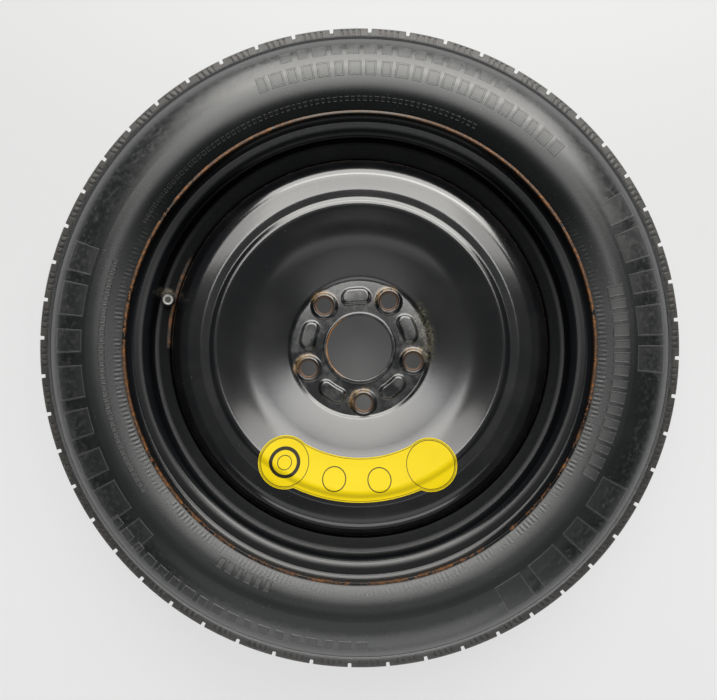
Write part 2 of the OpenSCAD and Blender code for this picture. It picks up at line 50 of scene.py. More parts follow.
# A path through points (radius, height, round): each corner is an arc of its round, in steps of a few degrees
def roundedPath(points, step=5.0):
    path = []
    for i, point in enumerate(points):
        here = np.array(point[:2], float)
        if i in (0, len(points) - 1) or not point[2]:
            path.append(here)
            continue
        a = unitOf(np.array(points[i - 1][:2], float) - here)
        b = unitOf(np.array(points[i + 1][:2], float) - here)
        turn = np.pi - np.arccos(np.clip(a @ b, -1, 1))
        reach = point[2] * np.tan(turn / 2)
        centre = here + unitOf(a + b) * np.hypot(reach, point[2])
        start, end = here + a * reach, here + b * reach
        steps = max(2, int(np.ceil(np.degrees(turn) / step)))
        swing = np.linspace(0, turn, steps + 1)[:, None]
        first = start - centre
        side = np.sign(first[0] * (end - centre)[1] - first[1] * (end - centre)[0])
        normal = side * np.array([-first[1], first[0]])
        path.extend(centre + np.cos(swing) * first + np.sin(swing) * normal)
    return np.array(path)


# The path with extra points, so that no step is longer than the limit
def denser(path, limit):
    out = [path[:1]]
    for a, b in zip(path[:-1], path[1:]):
        count = max(1, int(np.ceil(np.linalg.norm(b - a) / limit)))
        out.append(a + (b - a) * np.linspace(0, 1, count + 1)[1:, None])
    return np.concatenate(out)


# A level row of points from one radius to another
def levelRow(start, end, count, height):
    return np.stack([np.linspace(start, end, count), np.full(count, height)], axis=1)


# The path moved to its left: each point goes along the mean of its two sides' normals
def shiftedPath(path, by):
    sides = np.diff(path, axis=0)
    sides /= np.linalg.norm(sides, axis=1)[:, None]
    normals = np.stack([-sides[:, 1], sides[:, 0]], axis=1)
    before = np.concatenate([normals[:1], normals])
    after = np.concatenate([normals, normals[-1:]])
    return path + by * (before + after) / (1 + (before * after).sum(1))[:, None]


# A mesh in m from points in mm and rows of four point numbers, all of it smooth
def meshObject(name, coordinates, quads):
    mesh = bpy.data.meshes.new(name)
    mesh.vertices.add(len(coordinates))
    mesh.vertices.foreach_set("co", (coordinates * thousandth).astype(np.float32).ravel())
    mesh.loops.add(quads.size)
    mesh.loops.foreach_set("vertex_index", quads.astype(np.int32).ravel())
    mesh.polygons.add(len(quads))
    mesh.polygons.foreach_set("loop_start", np.arange(0, quads.size, quads.shape[1], dtype=np.int32))
    mesh.update(calc_edges=True)
    mesh.validate()
    mesh.polygons.foreach_set("use_smooth", np.ones(len(mesh.polygons), bool))
    item = bpy.data.objects.new(name, mesh)
    bpy.context.scene.collection.objects.link(item)
    return item


# A grid of points as a surface; rows and columns may close on themselves, and edges past the angle stay sharp
def gridObject(name, grid, closeRows=True, closeColumns=True, sharp=40):
    rows, columns = grid.shape[:2]
    index = np.arange(rows * columns).reshape(rows, columns)
    if closeRows:
        index = np.concatenate([index, index[:1]])
    if closeColumns:
        index = np.concatenate([index, index[:, :1]], axis=1)
    quads = np.stack([index[:-1, :-1], index[1:, :-1], index[1:, 1:], index[:-1, 1:]], axis=-1)
    item = meshObject(name, grid.reshape(-1, 3), quads.reshape(-1, 4))
    if sharp:
        item.data.set_sharp_from_angle(angle=np.radians(sharp))
    return item


# Radius and height tables turned about Z: x = R cos(angle), y = R sin(angle)
def turnedGrid(radius, height, angles):
    radius, height, angles = np.broadcast_arrays(radius, height, angles)
    return np.stack([radius * np.cos(angles), radius * np.sin(angles), height + middle], axis=-1)


# Gives a piece its material, hides the nodes it replaces and attaches it to the body it rides on; slotName is
# not used
def finished(item, body, slotName, material, *nodes):
    item.data.materials.clear()
    item.data.materials.append(material)
    if nodes:
        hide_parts(*nodes)
        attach(item, body)
    print("made", item.name, len(item.data.polygons), "faces")
    return item


# A shader value that takes part in sums like a number
class Maths:
    def __init__(self, tree, out):
        self.tree, self.out = tree, out

    # Adds a Math node on this value and others
    def run(self, operation, *others):
        node = self.tree.nodes.new("ShaderNodeMath")
        node.operation = operation
        for socket, value in zip(node.inputs, (self, *others)):
            if isinstance(value, Maths):
                self.tree.links.new(value.out, socket)
            else:
                socket.default_value = value
        return Maths(self.tree, node.outputs[0])

    def __add__(self, other):
        return self.run("ADD", other)

    def __sub__(self, other):
        return self.run("SUBTRACT", other)

    def __mul__(self, other):
        return self.run("MULTIPLY", other)

    def __truediv__(self, other):
        return self.run("DIVIDE", other)

    def __pow__(self, other):
        return self.run("POWER", other)

    def __rsub__(self, other):
        return self * -1 + other

    def __neg__(self):
        return self * -1

    def __abs__(self):
        return self.run("ABSOLUTE")

    __radd__ = __add__
    __rmul__ = __mul__

    # 0 below the first edge and 1 above the second, with a soft rise between them
    def rise(self, first, second):
        node = self.tree.nodes.new("ShaderNodeMapRange")
        node.interpolation_type = "SMOOTHSTEP"
        self.tree.links.new(self.out, node.inputs["Value"])
        flip = first > second
        node.inputs["From Min"].default_value = min(first, second)
        node.inputs["From Max"].default_value = max(first, second)
        node.inputs["To Min"].default_value = 1.0 if flip else 0.0
        node.inputs["To Max"].default_value = 0.0 if flip else 1.0
        return Maths(self.tree, node.outputs["Result"])

    # 1 inside the band between two values, with soft edges
    def band(self, first, second, soft):
        return self.rise(first - soft, first + soft) * self.rise(second + soft, second - soft)


# A material with its coordinates in mm and its last mixed colour
class Paint:
    def __init__(self, name, base, **constants):
        self.material = bpy.data.materials.new(name)
        self.material.use_nodes = True
        self.tree = self.material.node_tree
        self.shader = self.tree.nodes["Principled BSDF"]
        for socket, value in constants.items():
            self.shader.inputs[socket.replace("_", " ")].default_value = value
        self.shader.inputs["Base Color"].default_value = (*base, 1)
        self.colour = (*base, 1)
        self.place = self.node("ShaderNodeTexCoord").outputs["Object"]
        axes = self.node("ShaderNodeSeparateXYZ", {}, {"Vector": self.place}).outputs
        self.x, self.y, self.z = (Maths(self.tree, out) * 1000 for out in axes)
        self.radius = (self.x * self.x + self.y * self.y) ** 0.5
        self.angle = self.y.run("ARCTAN2", self.x) * degreesPerRadian
        self.heights = []

    def node(self, kind, settings=None, sockets=None):
        node = self.tree.nodes.new(kind)
        for key, value in (settings or {}).items():
            setattr(node, key, value)
        for key, value in (sockets or {}).items():
            if isinstance(value, Maths):
                value = value.out
            if isinstance(value, bpy.types.NodeSocket):
                self.tree.links.new(value, node.inputs[key])
            else:
                node.inputs[key].default_value = value
        return node

    # Noise of a given grain in mm, 0 to 1, at the object's own place or at a stretched one
    def noise(self, grain, detail=3.0, rough=0.55, at=None, shift=0.0):
        sockets = {
            "Vector": at or self.place,
            "Scale": (1.0 if at else 1000.0) / grain,
            "Detail": detail,
            "Roughness": rough,
            "W": shift,
        }
        node = self.node("ShaderNodeTexNoise", {"noise_dimensions": "4D"}, sockets)
        return Maths(self.tree, node.outputs[0])

    # Distance from the nearest of many scattered points, in shares of the grain in mm
    def cells(self, grain):
        sockets = {"Vector": self.place, "Scale": 1000.0 / grain}
        node = self.node("ShaderNodeTexVoronoi", {}, sockets)
        return Maths(self.tree, node.outputs["Distance"])

    # Lays a colour over what is there, by a factor
    def over(self, factor, colour):
        node = self.node("ShaderNodeMix", {"data_type": "RGBA"}, {"Factor": factor})
        below, above = node.inputs[6], node.inputs[7]
        if isinstance(self.colour, tuple):
            below.default_value = self.colour
        else:
            self.tree.links.new(self.colour, below)
        above.default_value = (*colour, 1)
        self.colour = node.outputs[2]
        self.tree.links.new(self.colour, self.shader.inputs["Base Color"])

    # Feeds a value to one of the shader's sockets
    def drive(self, name, value):
        self.tree.links.new(value.out, self.shader.inputs[name])

    # Bump from heights in mm
    def bump(self, height, strength=1.0):
        sockets = {"Height": height, "Strength": strength, "Distance": thousandth}
        if self.heights:
            sockets["Normal"] = self.heights[-1].outputs[0]
        node = self.node("ShaderNodeBump", {}, sockets)
        self.heights.append(node)
        self.tree.links.new(node.outputs[0], self.shader.inputs["Normal"])


# Tyre: radii, heights over the middle plane, rounds and depths
tyreSize = {
    "radius": 309.5, "bulge": 253.0, "crownDrop": 2.3, "treadEdge": 41.7,
    "seat": 202.8, "flange": 50.8, "beadWidth": 13.4, "beadGap": 0.1, "heel": 6.5,
    "curl": (210.8, 60.3, 9.6), "leave": 48.0,
    "edgeIn": 16.894, "edgeDrop": 16.7, "band": 5.6, "ring": (0.9, 0.7), "ringAt": (0.3, 3.5),
    "grooves": (-19.0, 0.0, 19.0), "grooveHalf": 2.75, "grooveDepth": 4.0,
    "notches": 52, "notchTurn": 5.1, "notchHalf": 1.7, "notchDepth": 3.8, "notchLength": 13.75,
    "dimples": (0.27, 0.42, 0.58, 0.73), "dimpleBand": (298.6, 304.4), "dimpleDepth": 0.75,
    "treadFrom": 300, "crownWall": 10.2, "crownCorner": (-37.0, 12),
    "inner": ((277, -55.5, 28), (253, -59.7, 19), (231.9, -55.2, 11), (211.8, -41.9, 8), (206.3, -36.8, 0)),
    "steps": 416,
}


# Outer half of the tyre's section, from the bead's toe to the crown. The sidewall is two large rounds that
# meet, level, at its widest place.
def tyreHalf(s):
    slope = np.tan(np.radians(5))
    toe = (s["seat"] - s["beadWidth"] * slope + s["beadGap"], s["flange"] - s["beadWidth"])
    curlR, curlZ, curlArc = s["curl"]
    leave = np.radians(s["leave"])
    lift = np.array([curlR + curlArc * np.sin(leave) + 5 * np.cos(leave),
                     curlZ - curlArc * np.cos(leave) + 5 * np.sin(leave)])
    lowerRun = 0.66 * (s["bulge"] - lift[0])
    lowerBend = s["bulge"] - lift[0] - lowerRun
    lowerTurn = np.arctan2(middle - lift[1], lowerRun)
    edge = np.array([s["radius"] - s["edgeIn"], middle - s["edgeDrop"]])
    out = edge - [s["bulge"], middle]
    upperRun = out @ out / (2 * out[0])
    upperTurn = np.arctan2(-out[1], out[0] - upperRun)
    along = np.array([np.cos(upperTurn), -np.sin(upperTurn)])
    normal = np.array([np.sin(upperTurn), np.cos(upperTurn)])
    band = edge + s["band"] * along
    width, height = s["ring"]
    rings = []
    for at in s["ringAt"]:  # thin raised rings
        foot = edge + along * at
        rings += [(*foot, 0), (*(foot + normal * height + along * 0.2), 0)]
        rings += [(*(foot + normal * height + along * (width - 0.2)), 0), (*(foot + along * width), 0)]
    crownTurn = np.arctan2(s["crownDrop"], s["treadEdge"] / 2)
    return [
        (*toe, 0),
        (s["seat"] + s["beadGap"], s["flange"] - s["beadGap"], s["heel"] - s["beadGap"]),
        (curlR + curlArc * np.tan(leave / 2), s["flange"] - s["beadGap"], curlArc),
        (*lift, 1.5),
        (lift[0] + lowerRun, middle, 0.95 * lowerBend / np.tan(lowerTurn / 2)),
        (s["bulge"] + upperRun, middle, 0.98 * upperRun / np.tan(upperTurn / 2)),
        *rings,
        (*band, 0),
        (s["radius"] - s["crownDrop"], s["treadEdge"], 5),
        (s["radius"], s["treadEdge"] / 2, 0.8 * s["treadEdge"] / 2 / np.tan(crownTurn / 2)),
    ]


# Both halves as one path, with extra lines where the notches begin and end, and the grooves pressed in: each
# groove takes its depth off the crown's radius, by shares that slope its walls and soften its corners.
def tyreProfile(s):
    half = tyreHalf(s)
    points = half + [(r, -z, c) for r, z, c in reversed(half)]
    path = denser(roundedPath(points, 9), 6)
    cuts = [s["treadEdge"] - s["notchLength"], s["treadEdge"] - s["notchLength"] + 0.12]
    for z in (*cuts, *(-c for c in cuts)):
        crossing = (path[:-1, 1] - z) * (path[1:, 1] - z) < 0
        at = np.flatnonzero((path[:-1, 0] > s["treadFrom"]) & crossing)[0]
        share = (z - path[at, 1]) / (path[at + 1, 1] - path[at, 1])
        path = np.insert(path, at + 1, path[at] + share * (path[at + 1] - path[at]), axis=0)
    for middleZ in s["grooves"]:
        inGroove = np.abs(path[:, 1] - middleZ) < s["grooveHalf"]
        crown = np.flatnonzero((path[:, 0] > s["radius"] - 1.5) & inGroove)
        edges = middleZ + s["grooveHalf"] * np.array([1, 0.98, 0.72, 0.6, -0.6, -0.72, -0.98, -1])
        depth = s["grooveDepth"] * np.array([0, 0.12, 0.93, 1, 1, 0.93, 0.12, 0])
        outer = path[path[:, 0] > s["treadFrom"]]
        surface = np.interp(-edges, -outer[:, 1], outer[:, 0])
        beyond = np.flatnonzero((path[:, 0] > s["treadFrom"]) & (path[:, 1] < middleZ))[0]
        before, after = (crown[0], crown[-1] + 1) if len(crown) else (beyond, beyond)
        wall = np.stack([surface - depth, edges], axis=1)
        path = np.concatenate([path[:before], wall, path[after:]])
    return path


# The section turned about Z in two parts: the tread, whose radius and height are pressed in at notches and
# dimples, and the walls with the inside of the tyre
def buildTyre(s, material):
    outer = tyreProfile(s)
    inner = roundedPath([(s["radius"] - s["crownWall"], *s["crownCorner"]), *s["inner"]], 12)
    hollow = np.concatenate([inner[::-1], inner * [1, -1]])
    # angles: lines on both sides of each notch wall and of each dimple, the rest spread
    pitch = 360 / s["notches"]
    half = np.degrees(s["notchHalf"] / s["radius"])
    dimples = pitch * np.array(s["dimples"])
    offsets = [-half - 0.03, -half + 0.03, half - 0.03, half + 0.03]
    for d in dimples:
        offsets += [d - 0.22, d - 0.14, d + 0.14, d + 0.22]
    offsets = np.array(offsets)
    angles = (s["notchTurn"] + pitch * np.arange(s["notches"])[:, None] + offsets).ravel()
    place = np.tile(offsets, s["notches"])
    radius = np.repeat(outer[:, :1], len(angles), axis=1)
    height = np.repeat(outer[:, 1:], len(angles), axis=1)
    # notches: the surface goes in to a slanted floor
    reach = np.abs(height)
    lowEnd, top = s["treadEdge"] - s["notchLength"], s["treadEdge"] + 1.5
    deep, shallow = s["radius"] - s["crownDrop"] - s["notchDepth"] - 1.6, s["radius"] - s["notchDepth"]
    floor = deep + (shallow - deep) * np.clip((top - reach) / (top - lowEnd), 0, 1)
    inNotch = (np.abs(place) < half) & (reach > lowEnd + 0.06) & (radius > deep)
    radius = np.where(inNotch, np.minimum(radius, floor), radius)
    # dimples on the band beyond the rings: shallow pockets in its height
    fromDimple = np.abs(place[:, None] - dimples).min(1)
    near, far = s["dimpleBand"]
    pocket = (fromDimple < 0.18) & (radius > near) & (radius < far) & (reach > s["treadEdge"] + 0.3)
    height = np.where(pocket, height - s["dimpleDepth"] * np.sign(height), height)
    # the tread takes the fine angles, the walls and the inside plain steps; they meet at the ring's foot
    inTread = np.flatnonzero(outer[:, 0] > s["radius"] - s["edgeIn"] - 0.4)
    first, last = inTread[0], inTread[-1]
    grid = turnedGrid(radius[first:last + 1], height[first:last + 1], np.radians(angles))
    finished(gridObject("tyreTread", grid, closeRows=False), "wheel", "tyre_rubber", material, "tyre")
    walls = np.concatenate([outer[last:], hollow, outer[:first + 1]])
    grid = turnedGrid(walls[:, :1], walls[:, 1:], np.linspace(0, 2 * np.pi, s["steps"], endpoint=False))
    finished(gridObject("tyreWalls", grid, closeRows=False), "wheel", "tyre_rubber", material, "tyre")


# Rim: radii, and heights over the middle plane
rimSize = {
    "seat": 202.8, "flange": 50.8, "flangeHeight": 17.5, "flangeWidth": 10.6, "curl": 9.5, "heel": 6.5,
    "humpIn": 19.4, "humpFoot": 4.8, "humpHeight": 1.2, "well": 186.3, "slope": 17.0, "bend": 2.5,
    "sheet": 2.5, "steps": 320,
}


# The sheet's tyre side from lip to lip: curl, flange, heel, seat at 5 degrees, hump and well, then mirrored
def rimPath(s):
    five, wall = np.tan(np.radians(5)), np.tan(np.radians(s["slope"]))
    lip, humpZ = s["seat"] + s["flangeHeight"], s["flange"] - s["humpIn"]
    humpR = s["seat"] - s["humpIn"] * five + s["humpHeight"]
    half = [
        (lip, s["flange"] + s["flangeWidth"], 0),
        (lip, s["flange"], s["curl"]),
        (s["seat"], s["flange"], s["heel"]),
        (s["seat"] - (s["humpIn"] - s["humpFoot"]) * five, humpZ + s["humpFoot"], 4),
        (humpR, humpZ, 3),
        (s["well"], humpZ - (humpR - s["well"]) * wall, s["bend"]),
    ]
    return roundedPath(half + [(r, -z, c) for r, z, c in reversed(half)], 6)


# The sheet's two sides and its rounded cut edges as one loop, turned about Z
def buildRim(s, material):
    tyreSide = denser(rimPath(s), 6)
    visible = shiftedPath(tyreSide, -s["sheet"])
    # the sheet's two cut edges have their corners rounded by 0.4 mm
    t = s["sheet"]
    ends = []
    for sign in (1, -1):
        lip, top = tyreSide[0, 0], sign * tyreSide[0, 1]
        ends.append(np.array([[lip - t, top - sign * 0.4], [lip - t + 0.12, top - sign * 0.12],
                              [lip - t + 0.4, top], [lip - 0.4, top],
                              [lip - 0.12, top - sign * 0.12], [lip, top - sign * 0.4]]))
    loop = np.concatenate([tyreSide[1:-1], ends[1][::-1], visible[::-1][1:-1], ends[0]])
    angles = np.linspace(0, 2 * np.pi, s["steps"], endpoint=False)
    grid = turnedGrid(loop[:, :1], loop[:, 1:], angles)
    return finished(gridObject("rimRolled", grid, sharp=50), "wheel", "rim_paint", material, "rim")


# Disc: radii, and heights over the middle plane
discSize = {
    "sheet": 3.8, "face": 23.0, "bore": 31.7, "collarHeight": 1.8, "collarWidth": 3.8, "skirt": 183.7,
    "boltCircle": 54.0, "boltTurn": 58.0, "boltHole": 7.6, "seatFoot": 13.1, "seatTop": 10.9,
    "seatHeight": 3.2, "cone": 9.9, "padCircle": 51.4, "padHalf": 8.2, "padRun": 13.0, "padHeight": 2.6,
    "padTop": 5.99, "padBend": 130, "fillet": 0.45,
    "seatRelief": (1.2, 10.8, 2.2), "padRelief": (2.6, 6.1, 2.4),  # depth, reach and width of the soft step
    "steps": 376,
}


# The sheet's front side from the collar's foot to the skirt's end: hub, wall, bowl, ridge, shoulder and skirt
def discFront(s):
    front, skirt = s["face"] + s["sheet"], s["skirt"]
    return roundedPath([
        (s["bore"] + s["collarWidth"] + 0.4, front, 0),
        (67, front, 3), (70, front + 2, 5), (112, front + 10.9, 106.5), (138, front + 22, 7),
        (143, front + 19.8, 3.5), (151, front + 21.2, 12), (skirt - 13.2, front + 20.2, 20),
        (skirt, front + 5.7, 12), (skirt, 4, 0),
    ], 4)


discSharp = 42  # degrees past which the disc's edges stay sharp


# From 0 to 1 as a soft step
def softStep(value):
    value = np.clip(value, 0, 1)
    return value * value * (3 - 2 * value)


# Distance from the middle line of a pad, or from the middle of a hole, in the plane of the hub
def hubDistances(x, y, s):
    fromHole = np.full(x.shape, 1e3)
    fromPad = np.full(x.shape, 1e3)
    for i in range(5):
        turn = np.radians(s["boltTurn"] + 72 * i)
        holeX, holeY = s["boltCircle"] * np.cos(turn), s["boltCircle"] * np.sin(turn)
        fromHole = np.minimum(fromHole, np.hypot(x - holeX, y - holeY))
        turn += np.radians(36)
        out = x * np.cos(turn) + y * np.sin(turn) - s["padCircle"]
        side = -x * np.sin(turn) + y * np.cos(turn)
        # the pads follow their circle a little, as pressed
        out = out + side**2 / s["padBend"]
        beyond = np.maximum(np.abs(side) - s["padRun"] / 2, 0)
        fromPad = np.minimum(fromPad, np.hypot(out, beyond))
    return fromHole, fromPad


# Front, skirt, back and bore as one loop turned about Z. In the hub the height rises by a soft step of the
# distance to the nearest hole or pad, on the front for seats and pads and on the back for their reliefs.
def buildDisc(s):
    front = discFront(s)
    frontZ = s["face"] + s["sheet"]
    hub = levelRow(36.0, 66.2, 52, frontZ)
    outer = denser(front[front[:, 0] > 66.3], 4.5)
    back = shiftedPath(front, -s["sheet"])
    backHub = levelRow(66.0, 33.0, 24, s["face"])
    backOuter = denser(back[back[:, 0] > 66.3], 9.0)[::-1]
    b, top = s["bore"], frontZ + s["collarHeight"]
    collar = roundedPath([(b, s["face"], 0), (b, top, 0.8), (b + s["collarWidth"], top, 1.2),
                          (b + s["collarWidth"] + 0.5, frontZ, 0)], 20)[:-1]
    loop = np.concatenate([collar, hub, outer, backOuter, backHub])
    onFront = np.arange(len(loop)) < len(collar) + len(hub) + len(outer)
    angles = np.linspace(0, 2 * np.pi, s["steps"], endpoint=False)
    grid = turnedGrid(loop[:, :1], loop[:, 1:], angles)
    x, y = grid[..., 0], grid[..., 1]
    fromHole, fromPad = hubDistances(x, y, s)
    fillet = s["fillet"]
    seatRun = s["seatFoot"] - s["seatTop"] + 2 * fillet
    padRun = s["padHalf"] - s["padTop"] + 2 * fillet
    seat = s["seatHeight"] * softStep((s["seatFoot"] + fillet - fromHole) / seatRun)
    pad = s["padHeight"] * softStep((s["padHalf"] + fillet - fromPad) / padRun)
    inHub = (np.hypot(x, y) > 35.9) & (np.hypot(x, y) < 69)
    lift = np.where(onFront[:, None] & inHub, np.maximum(seat, pad), 0)
    relief = 0
    for (depth, reach, run), away in ((s["seatRelief"], fromHole), (s["padRelief"], fromPad)):
        relief = relief + depth * softStep((reach - away) / run)
    lift = np.where(~onFront[:, None] & (np.hypot(x, y) < 69), relief, lift)
    grid[..., 2] += lift
    return gridObject("discPressed", grid, sharp=discSharp)


# One cutter of revolution per hole: the hole itself and its 60 degree cone with a rounded mouth
def holeCutters(s):
    front = s["face"] + s["sheet"] + s["seatHeight"]
    deep = (s["cone"] - s["boltHole"]) / np.tan(np.radians(30))
    profile = np.array([[s["cone"] + 1.2, front + 3], [s["cone"] + 0.6, front + 0.1],
                        [s["cone"] + 0.05, front - 0.1], [s["cone"] - 0.25, front - 0.43],
                        [s["boltHole"], front - deep], [s["boltHole"], 15.0]])
    turn = np.linspace(0, 2 * np.pi, 72, endpoint=False)
    grids = []
    for i in range(5):
        at = np.radians(s["boltTurn"] + 72 * i)
        grid = turnedGrid(profile[:, :1], profile[:, 1:], turn)
        grids.append(grid + [s["boltCircle"] * np.cos(at), s["boltCircle"] * np.sin(at), 0])
    return grids


# A turned solid with a flat face on both ends
def cutterObject(grid):
    index = np.arange(grid.shape[0] * grid.shape[1]).reshape(grid.shape[:2])
    around = np.concatenate([index, index[:, :1]], axis=1)
    quads = np.stack([around[:-1, :-1], around[1:, :-1], around[1:, 1:], around[:-1, 1:]], axis=-1)
    faces = quads.reshape(-1, 4).tolist() + [index[0].tolist(), index[-1][::-1].tolist()]
    mesh = bpy.data.meshes.new("cutter")
    mesh.from_pydata((grid.reshape(-1, 3) * thousandth).tolist(), [], faces)
    item = bpy.data.objects.new("cutter", mesh)
    bpy.context.scene.collection.objects.link(item)
    return item


# Takes the cutters away from a piece and puts the result in its own mesh
def cutHoles(item, grids):
    cutters = [cutterObject(grid) for grid in grids]
    for cutter in cutters:
        change = item.modifiers.new("hole", "BOOLEAN")
        change.operation, change.object, change.solver = "DIFFERENCE", cutter, "EXACT"
    shaped = item.evaluated_get(bpy.context.evaluated_depsgraph_get())
    mesh = bpy.data.meshes.new_from_object(shaped)
    item.modifiers.clear()
    item.data = mesh
    item.data.polygons.foreach_set("use_smooth", np.ones(len(mesh.polygons), bool))
    item.data.set_sharp_from_angle(angle=np.radians(discSharp))
    for cutter in cutters:
        bpy.data.objects.remove(cutter)
    return item


# Label: a band between two radii with a disc at both ends; a printed ring is (degrees off the middle, radius
# of its centre, its own radius, width of its line)
labelSize = {
    "inner": 106.3, "outer": 147.0, "endRadius": 25.0, "endAt": 130.5, "halfTurn": 32.2, "turn": 269.0,
    "gap": 0.03, "thick": 0.2, "steps": 180, "rows": 44,
    "rings": ((32.2, 130.5, 22.6, 0.7), (-32.2, 130.5, 22.6, 0.7), (-32.2, 130.5, 13.0, 3.4),
              (-32.2, 130.5, 6.5, 0.8), (-10.0, 127.5, 11.0, 1.0), (9.5, 127.5, 11.0, 1.0)),
}


# For each direction the label spans from an inner to an outer radius: those of the band, or of an end disc
# where that is wider. It lies just above the disc's front, and its height is read off that profile.
def buildLabel(s, front, material):
    endReach = np.degrees(np.arcsin(s["endRadius"] / s["endAt"])) - 0.02
    whole = s["halfTurn"] + endReach
    spread = np.sin(np.linspace(-np.pi / 2, np.pi / 2, s["steps"]))
    off = whole * (0.45 * spread + 0.55 * np.linspace(-1, 1, s["steps"]))
    inner = np.where(np.abs(off) < s["halfTurn"], s["inner"], np.inf)
    outer = np.where(np.abs(off) < s["halfTurn"], s["outer"], -np.inf)
    for side in (-1, 1):
        away = np.radians(off - side * s["halfTurn"])
        inside = s["endRadius"] ** 2 - (s["endAt"] * np.sin(away)) ** 2
        half = np.sqrt(np.clip(inside, 0, None))
        inner = np.where(inside > 0, np.minimum(inner, s["endAt"] * np.cos(away) - half), inner)
        outer = np.where(inside > 0, np.maximum(outer, s["endAt"] * np.cos(away) + half), outer)
    share = np.linspace(0, 1, s["rows"])[:, None]
    radius = inner + (outer - inner) * share
    rising = front[(front[:, 0] > 60) & (front[:, 0] < 170)]
    surface = np.interp(radius, rising[:, 0], rising[:, 1])
    radius = np.concatenate([radius, radius[::-1]])
    height = np.concatenate([surface + s["gap"] + s["thick"], surface[::-1] + s["gap"]])
    grid = turnedGrid(radius, height, np.radians(off + s["turn"]))
    label = gridObject("labelFilm", grid, closeColumns=False, sharp=60)
    # both ends are closed by a face
    shape = bmesh.new()
    shape.from_mesh(label.data)
    bmesh.ops.holes_fill(shape, edges=[edge for edge in shape.edges if edge.is_boundary])
    shape.to_mesh(label.data)
    shape.free()
    return finished(label, "wheel", "label_film", material, "label")


# Valve: radii and heights along its own axis, whose foot is at (radius, height) in the wheel
valveSize = {
    "turn": 165.9, "tilt": 17.0, "foot": (192.569, 31.038), "pitch": 0.79375,
    "stem": 22.4, "threadStart": 12.8, "capLow": 12.7, "capTop": 24.86, "capRadius": 5.5,
    "capBore": 3.95, "flutes": 14, "fluteDepth": 0.28,
}


# From the valve's own frame to the wheel's: tilt towards the axis, then out to the foot, then round.
# The valve's loops run counterclockwise, so their angles run backwards and the faces point outwards.
def placedValve(grid, s):
    tilt, turn = np.radians(s["tilt"]), np.radians(s["turn"])
    x, y, z = grid[..., 0], grid[..., 1], grid[..., 2] - middle
    outward = x * np.cos(tilt) - z * np.sin(tilt) + s["foot"][0]
    up = x * np.sin(tilt) + z * np.cos(tilt) + s["foot"][1] + middle
    right = outward * np.cos(turn) - y * np.sin(turn)
    back = outward * np.sin(turn) + y * np.cos(turn)
    return np.stack([right, back, up], axis=-1)


# The rubber's section turned about the valve's axis: foot, groove for the rim's sheet, shoulder and neck
def buildValveBody(s, material):
    loop = roundedPath([
        (3.12, -11.1, 0), (6.6, -11.1, 1.4), (8.4, -8.1, 1.2), (7.8, -4.55, 0.6), (7.0, -3.15, 0.3),
        (6.0, -2.65, 0), (5.7, -2.65, 0), (5.7, 0.05, 0), (6.7, 0.05, 0.5), (6.7, 1.8, 0.6),
        (5.9, 4.6, 2), (4.9, 12.4, 0.6), (3.12, 12.4, 0),
    ], 15)
    angles = np.linspace(2 * np.pi, 0, 96, endpoint=False)
    grid = placedValve(turnedGrid(loop[:, :1], loop[:, 1:], angles), s)
    body = gridObject("valveRubber", grid)
    return finished(body, "wheel", "valve_rubber", material, "valve_body")


# A section turned about the valve's axis, with an outside thread: its radius falls by a triangle wave of the
# height, which turns once per pitch
def buildStem(s, material):
    angles = np.linspace(2 * np.pi, 0, 48, endpoint=False)
    threadZ = np.arange(s["threadStart"] + 0.6, s["stem"] - 0.5, s["pitch"] / 10)
    lower = np.array([[1.95, -10.3], [3.1, -10.3], [3.1, -9.1], [4.7, -9.1],
                      [4.7, -7.7], [3.1, -7.7], [3.1, s["threadStart"]]])
    upper = np.array([[3.35, s["stem"]], [2.92, s["stem"]], [2.62, 22.0], [2.62, 15.8], [1.95, 14.6]])
    thread = np.stack([np.full(len(threadZ), 3.85), threadZ], axis=1)
    loop = np.concatenate([lower, thread, upper])
    radius = np.repeat(loop[:, :1], len(angles), axis=1)
    phase = (loop[:, 1:] / s["pitch"] - angles / (2 * np.pi)) % 1
    onThread = (np.arange(len(loop)) >= len(lower)) & (np.arange(len(loop)) < len(lower) + len(thread))
    ends = np.clip(np.minimum(loop[:, 1] - s["threadStart"] - 0.6, s["stem"] - 0.5 - loop[:, 1]) / 0.6, 0, 1)
    cut = 0.45 * (1 - np.abs(2 * phase - 1)) * ends[:, None]
    radius = np.where(onThread[:, None], radius - cut, radius)
    grid = placedValve(turnedGrid(radius, loop[:, 1:], angles), s)
    return finished(gridObject("valveStem", grid), "wheel", "valve_brass", material, "valve_stem")


# Cap: a section turned about the valve's axis; flutes are cosine dips of the radius, up to the rounded top
def buildCap(s, material):
    low, top, wide, bore = s["capLow"], s["capTop"], s["capRadius"], s["capBore"]
    dish, roof = top - 0.5, top - 1.5
    loop = denser(roundedPath([
        (bore, low, 0), (wide - 0.3, low, 0), (wide, low + 0.5, 0.4), (wide, top, 1.1), (4.2, top, 0.25),
        (3.4, dish, 0.3), (0.02, dish, 0), (0.02, roof, 0), (bore, roof, 0),
    ], 12), 1.5)
    angles = np.linspace(2 * np.pi, 0, s["flutes"] * 12, endpoint=False)
    radius = np.repeat(loop[:, :1], len(angles), axis=1)
    dip = np.clip(np.cos(angles * s["flutes"]) - 0.2, 0, 1) / 0.8
    onSide = (loop[:, 0] > wide - 0.5)[:, None] & (loop[:, 1] < top - 0.56)[:, None]
    radius = np.where(onSide, radius - s["fluteDepth"] * dip, radius)
    grid = placedValve(turnedGrid(radius, loop[:, 1:], angles), s)
    return finished(gridObject("valveCap", grid, sharp=35), "cap", "cap_plastic", material, "valve_cap")


# Colours that several materials share
rust, darkRust, ochre = (0.27, 0.09, 0.003), (0.075, 0.03, 0.006), (0.36, 0.21, 0.05)
dustAndHighlight = (0.30, 0.29, 0.26)


